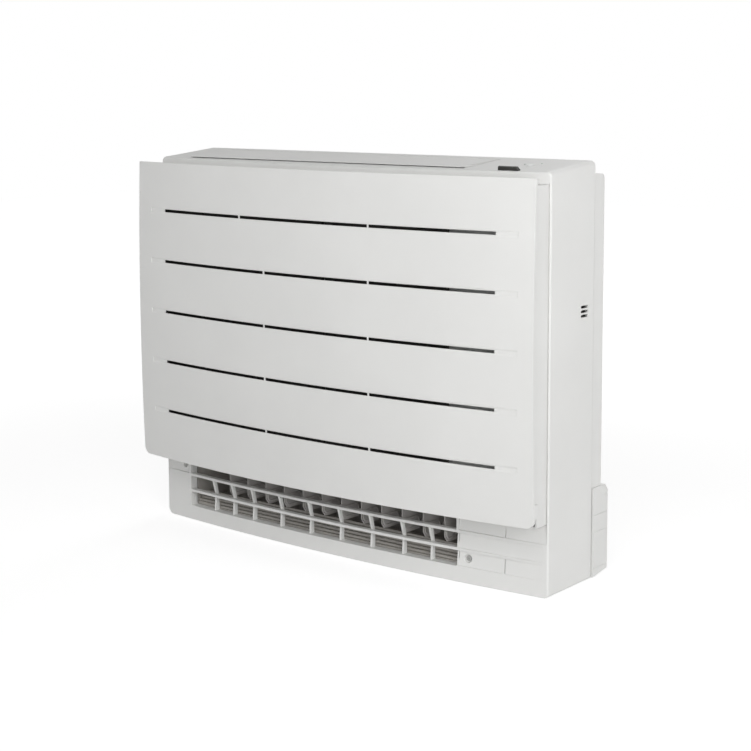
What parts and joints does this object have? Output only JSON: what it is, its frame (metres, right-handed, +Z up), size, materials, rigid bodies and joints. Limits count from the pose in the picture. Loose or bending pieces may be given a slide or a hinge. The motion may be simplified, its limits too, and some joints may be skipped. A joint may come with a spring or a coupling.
{
  "type": "floor standing air conditioner",
  "caption": "White floor standing air conditioner: bowed front panel with intake slits, ribbed lower outlet with turning vanes, sloping top with a hinged flap over the upper outlet.",
  "frame": {"origin": "on the floor, under the centre of the bounding box", "axes": "+X to the right seen from the room, +Y towards the wall, +Z up"},
  "size_m": [0.75, 0.2379, 0.5994],
  "materials": {
    "base_plastic": "satin",
    "brass": "turned",
    "button_plastic": "satin",
    "casing_plastic": "satin",
    "circuit_board": "solder mask",
    "copper": "drawn copper",
    "deodorising_felt": "matte",
    "duct_plastic": "matte",
    "fan_plastic": "matte",
    "filter_net": "fine net",
    "fin_aluminium": "finned",
    "galvanised_steel": "galvanised",
    "grille_plastic": "matte",
    "hose_rubber": "matte",
    "inner_plastic": "matte",
    "lamp_lens": "gloss",
    "motor_casing": "satin",
    "pan_foam": "matte",
    "panel_plastic": "satin",
    "screw_steel": "plated",
    "shaft_steel": "turned",
    "shell_plastic": "satin",
    "smoked_window": "gloss",
    "stepper_steel": "plated",
    "stopper_plastic": "matte",
    "terminal_plastic": "matte",
    "vane_plastic": "matte"
  },
  "bodies": {
    "unit": {"base_frame": "base_plastic", "bell_mouth": "inner_plastic", "casing_screws": "screw_steel", "damper_motor": "stepper_steel", "deodorising_filter": "deodorising_felt", "drain_hose": "hose_rubber", "drain_pan": "pan_foam", "exchanger_end_plates": "galvanised_steel", "fan_motor": "motor_casing", "flap_motor": "stepper_steel", "flare_nuts": "brass", "front_casing": "casing_plastic", "gas_pipe": "copper", "heat_exchanger_fins": "fin_aluminium", "heat_exchanger_tubes": "copper", "indicator_lenses": "lamp_lens", "intake_grille": "grille_plastic", "liquid_pipe": "copper", "lower_duct": "duct_plastic", "main_board": "circuit_board", "motor_bracket": "galvanised_steel", "rear_shell": "shell_plastic", "receiver_board": "circuit_board", "room_thermistor": "terminal_plastic", "sensor_window": "smoked_window", "switch_box": "galvanised_steel", "terminal_block": "terminal_plastic", "upper_duct": "duct_plastic"},
    "panel": {"front_panel": "panel_plastic"},
    "stopper_left": {"panel_stopper_left": "stopper_plastic"},
    "stopper_right": {"panel_stopper_right": "stopper_plastic"},
    "filter_left": {"air_filter_left": "filter_net"},
    "filter_right": {"air_filter_right": "filter_net"},
    "fan": {"fan_impeller": "fan_plastic", "motor_shaft": "shaft_steel", "fan_nut": "shaft_steel"},
    "damper": {"lower_damper": "duct_plastic"},
    "lower_link": {"lower_vane_rod": "vane_plastic"},
    "flap": {"upper_flap": "casing_plastic"},
    "upper_link": {"upper_vane_rod": "vane_plastic"},
    "button": {"power_button": "button_plastic"},
    "lower_vane_01_body": {"lower_vane_01": "vane_plastic"},
    "lower_vane_02_body": {"lower_vane_02": "vane_plastic"},
    "lower_vane_03_body": {"lower_vane_03": "vane_plastic"},
    "lower_vane_04_body": {"lower_vane_04": "vane_plastic"},
    "lower_vane_05_body": {"lower_vane_05": "vane_plastic"},
    "lower_vane_06_body": {"lower_vane_06": "vane_plastic"},
    "lower_vane_07_body": {"lower_vane_07": "vane_plastic"},
    "lower_vane_08_body": {"lower_vane_08": "vane_plastic"},
    "lower_vane_09_body": {"lower_vane_09": "vane_plastic"},
    "lower_vane_10_body": {"lower_vane_10": "vane_plastic"},
    "lower_vane_11_body": {"lower_vane_11": "vane_plastic"},
    "lower_vane_12_body": {"lower_vane_12": "vane_plastic"},
    "upper_vane_1_body": {"upper_vane_1": "vane_plastic"},
    "upper_vane_2_body": {"upper_vane_2": "vane_plastic"},
    "upper_vane_3_body": {"upper_vane_3": "vane_plastic"},
    "upper_vane_4_body": {"upper_vane_4": "vane_plastic"},
    "upper_vane_5_body": {"upper_vane_5": "vane_plastic"},
    "upper_vane_6_body": {"upper_vane_6": "vane_plastic"}
  },
  "joints": [
    {"name": "panel_hinge", "type": "hinge", "parent": "unit", "child": "panel", "pos_m": [0, -0.0755, 0.131], "axis": [1, 0, 0], "range_deg": [0, 30]},
    {"name": "stopper_left_slide", "type": "slide", "parent": "unit", "child": "stopper_left", "axis": [-1, 0, 0], "range_m": [0, 0.008]},
    {"name": "stopper_right_slide", "type": "slide", "parent": "unit", "child": "stopper_right", "axis": [1, 0, 0], "range_m": [0, 0.008]},
    {"name": "filter_left_lift", "type": "slide", "parent": "unit", "child": "filter_left", "axis": [0, 0, 1], "range_m": [0, 0.014]},
    {"name": "filter_right_lift", "type": "slide", "parent": "unit", "child": "filter_right", "axis": [0, 0, 1], "range_m": [0, 0.014]},
    {"name": "fan_spin", "type": "hinge", "parent": "unit", "child": "fan", "pos_m": [-0.043, 0.06, 0.345], "axis": [0, 1, 0], "continuous": true},
    {"name": "damper_turn", "type": "hinge", "parent": "unit", "child": "damper", "pos_m": [0, 0.054, 0.112], "axis": [1, 0, 0], "range_deg": [0, 90]},
    {"name": "flap_hinge", "type": "hinge", "parent": "unit", "child": "flap", "pos_m": [0, 0.052, 0.5905], "axis": [-1, 0, 0], "range_deg": [0, 75]},
    {"name": "button_press", "type": "slide", "parent": "unit", "child": "button", "axis": [0, 0, -1], "range_m": [0, 0.0012], "stiffness_N_per_m": 300},
    {"name": "lower_vane_01_swing", "type": "hinge", "parent": "unit", "child": "lower_vane_01_body", "pos_m": [-0.233, -0.004, 0.098], "axis": [0, 0, 1], "range_deg": [-35, 35]},
    {"name": "lower_vane_02_swing", "type": "hinge", "parent": "unit", "child": "lower_vane_02_body", "pos_m": [-0.1944, -0.004, 0.098], "axis": [0, 0, 1], "range_deg": [-35, 35]},
    {"name": "lower_vane_03_swing", "type": "hinge", "parent": "unit", "child": "lower_vane_03_body", "pos_m": [-0.1558, -0.004, 0.098], "axis": [0, 0, 1], "range_deg": [-35, 35]},
    {"name": "lower_vane_04_swing", "type": "hinge", "parent": "unit", "child": "lower_vane_04_body", "pos_m": [-0.1172, -0.004, 0.098], "axis": [0, 0, 1], "range_deg": [-35, 35]},
    {"name": "lower_vane_05_swing", "type": "hinge", "parent": "unit", "child": "lower_vane_05_body", "pos_m": [-0.0786, -0.004, 0.098], "axis": [0, 0, 1], "range_deg": [-35, 35]},
    {"name": "lower_vane_06_swing", "type": "hinge", "parent": "unit", "child": "lower_vane_06_body", "pos_m": [-0.04, -0.004, 0.098], "axis": [0, 0, 1], "range_deg": [-35, 35]},
    {"name": "lower_vane_07_swing", "type": "hinge", "parent": "unit", "child": "lower_vane_07_body", "pos_m": [-0.0014, -0.004, 0.098], "axis": [0, 0, 1], "range_deg": [-35, 35]},
    {"name": "lower_vane_08_swing", "type": "hinge", "parent": "unit", "child": "lower_vane_08_body", "pos_m": [0.0372, -0.004, 0.098], "axis": [0, 0, 1], "range_deg": [-35, 35]},
    {"name": "lower_vane_09_swing", "type": "hinge", "parent": "unit", "child": "lower_vane_09_body", "pos_m": [0.0758, -0.004, 0.098], "axis": [0, 0, 1], "range_deg": [-35, 35]},
    {"name": "lower_vane_10_swing", "type": "hinge", "parent": "unit", "child": "lower_vane_10_body", "pos_m": [0.1144, -0.004, 0.098], "axis": [0, 0, 1], "range_deg": [-35, 35]},
    {"name": "lower_vane_11_swing", "type": "hinge", "parent": "unit", "child": "lower_vane_11_body", "pos_m": [0.153, -0.004, 0.098], "axis": [0, 0, 1], "range_deg": [-35, 35]},
    {"name": "lower_vane_12_swing", "type": "hinge", "parent": "unit", "child": "lower_vane_12_body", "pos_m": [0.1916, -0.004, 0.098], "axis": [0, 0, 1], "range_deg": [-35, 35]},
    {"name": "lower_link_pivot", "type": "hinge", "parent": "lower_vane_01_body", "child": "lower_link", "pos_m": [-0.233, 0.014, 0.0545], "axis": [0, 0, 1], "range_deg": [-35, 35]},
    {"name": "upper_vane_1_swing", "type": "hinge", "parent": "unit", "child": "upper_vane_1_body", "pos_m": [-0.252, 0.012, 0.569], "axis": [0, 1, 0], "range_deg": [-30, 30]},
    {"name": "upper_vane_2_swing", "type": "hinge", "parent": "unit", "child": "upper_vane_2_body", "pos_m": [-0.168, 0.012, 0.569], "axis": [0, 1, 0], "range_deg": [-30, 30]},
    {"name": "upper_vane_3_swing", "type": "hinge", "parent": "unit", "child": "upper_vane_3_body", "pos_m": [-0.084, 0.012, 0.569], "axis": [0, 1, 0], "range_deg": [-30, 30]},
    {"name": "upper_vane_4_swing", "type": "hinge", "parent": "unit", "child": "upper_vane_4_body", "pos_m": [0, 0.012, 0.569], "axis": [0, 1, 0], "range_deg": [-30, 30]},
    {"name": "upper_vane_5_swing", "type": "hinge", "parent": "unit", "child": "upper_vane_5_body", "pos_m": [0.084, 0.012, 0.569], "axis": [0, 1, 0], "range_deg": [-30, 30]},
    {"name": "upper_vane_6_swing", "type": "hinge", "parent": "unit", "child": "upper_vane_6_body", "pos_m": [0.168, 0.012, 0.569], "axis": [0, 1, 0], "range_deg": [-30, 30]},
    {"name": "upper_link_pivot", "type": "hinge", "parent": "upper_vane_1_body", "child": "upper_link", "pos_m": [-0.252, 0.023, 0.5775], "axis": [0, 1, 0], "range_deg": [-30, 30]}
  ],
  "couplings": [
    {"joint": "lower_vane_02_swing", "follows": "lower_vane_01_swing", "ratio": 1},
    {"joint": "lower_vane_03_swing", "follows": "lower_vane_01_swing", "ratio": 1},
    {"joint": "lower_vane_04_swing", "follows": "lower_vane_01_swing", "ratio": 1},
    {"joint": "lower_vane_05_swing", "follows": "lower_vane_01_swing", "ratio": 1},
    {"joint": "lower_vane_06_swing", "follows": "lower_vane_01_swing", "ratio": 1},
    {"joint": "lower_vane_07_swing", "follows": "lower_vane_01_swing", "ratio": 1},
    {"joint": "lower_vane_08_swing", "follows": "lower_vane_01_swing", "ratio": 1},
    {"joint": "lower_vane_09_swing", "follows": "lower_vane_01_swing", "ratio": 1},
    {"joint": "lower_vane_10_swing", "follows": "lower_vane_01_swing", "ratio": 1},
    {"joint": "lower_vane_11_swing", "follows": "lower_vane_01_swing", "ratio": 1},
    {"joint": "lower_vane_12_swing", "follows": "lower_vane_01_swing", "ratio": 1},
    {"joint": "lower_link_pivot", "follows": "lower_vane_01_swing", "ratio": -1},
    {"joint": "upper_vane_2_swing", "follows": "upper_vane_1_swing", "ratio": 1},
    {"joint": "upper_vane_3_swing", "follows": "upper_vane_1_swing", "ratio": 1},
    {"joint": "upper_vane_4_swing", "follows": "upper_vane_1_swing", "ratio": 1},
    {"joint": "upper_vane_5_swing", "follows": "upper_vane_1_swing", "ratio": 1},
    {"joint": "upper_vane_6_swing", "follows": "upper_vane_1_swing", "ratio": 1},
    {"joint": "upper_link_pivot", "follows": "upper_vane_1_swing", "ratio": -1}
  ]
}
